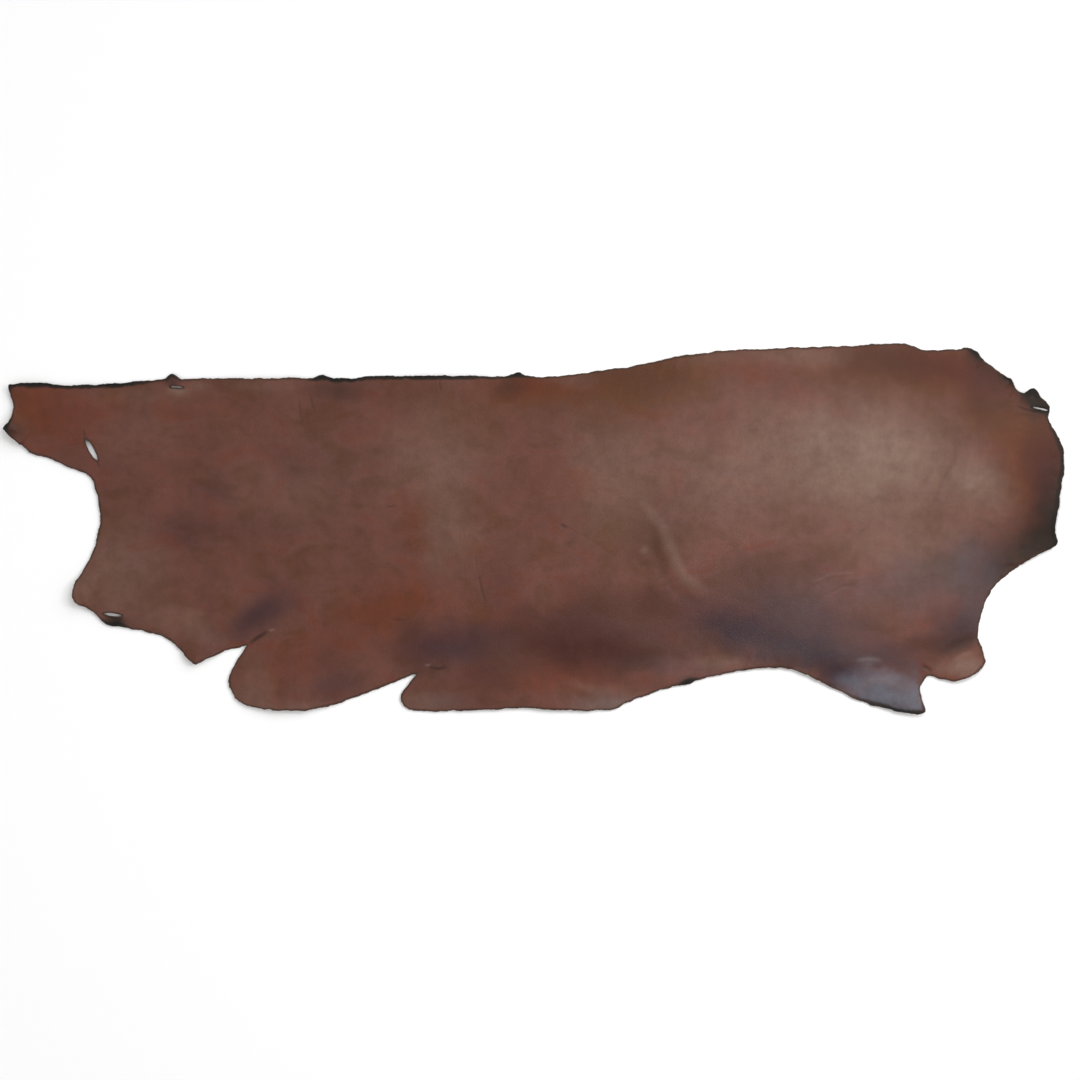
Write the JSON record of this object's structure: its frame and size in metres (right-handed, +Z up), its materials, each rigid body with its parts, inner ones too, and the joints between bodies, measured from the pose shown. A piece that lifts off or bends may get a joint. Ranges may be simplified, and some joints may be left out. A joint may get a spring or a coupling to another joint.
{
  "type": "leather side",
  "caption": "Half of a tanned brown cow hide, one uneven cut sheet lying grain side up, with neck, butt, shanks and belly flaps, and torn slits at its edge.",
  "frame": {"origin": "on the surface that the hide lies on, under the middle of its bounding box", "axes": "+X from the neck to the butt, +Y from the belly to the back line, +Z up out of the grain side"},
  "size_m": [2.4972, 0.8748, 0.0319],
  "materials": {
    "brown_leather": "smooth full-grain face with a low sheen, mottled brown, and a matt flesh side"
  },
  "bodies": {
    "root": {"leather_side": "brown_leather"}
  },
  "joints": []
}
